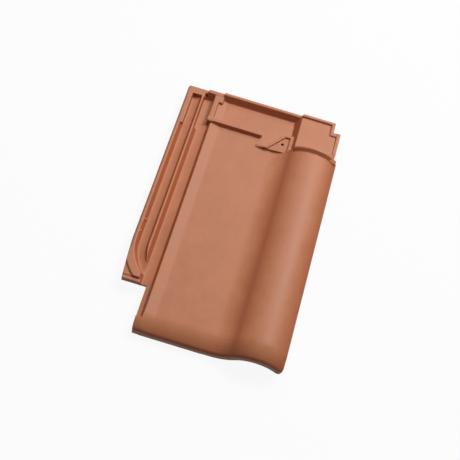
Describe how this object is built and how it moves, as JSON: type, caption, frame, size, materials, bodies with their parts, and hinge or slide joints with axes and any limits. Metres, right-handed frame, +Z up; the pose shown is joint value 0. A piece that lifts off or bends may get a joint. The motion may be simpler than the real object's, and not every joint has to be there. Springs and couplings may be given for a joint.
{
  "type": "interlocking clay roof tile",
  "caption": "Pressed clay roof tile with a flat pan, a roll that covers the next tile, channelled side lap, weather bars and upstand at the head, nail hole, hanging nibs and a down-turned nose.",
  "frame": {"origin": "middle of the tile's plan, on the surface that it lies on", "axes": "+Y from the foot to the head, +X from the side lap to the roll, +Z up out of the weathered face"},
  "size_m": [0.285, 0.466, 0.056],
  "materials": {
    "fired_clay": "matt unglazed natural red"
  },
  "bodies": {
    "root": {"roof_tile": "fired_clay"}
  },
  "joints": []
}
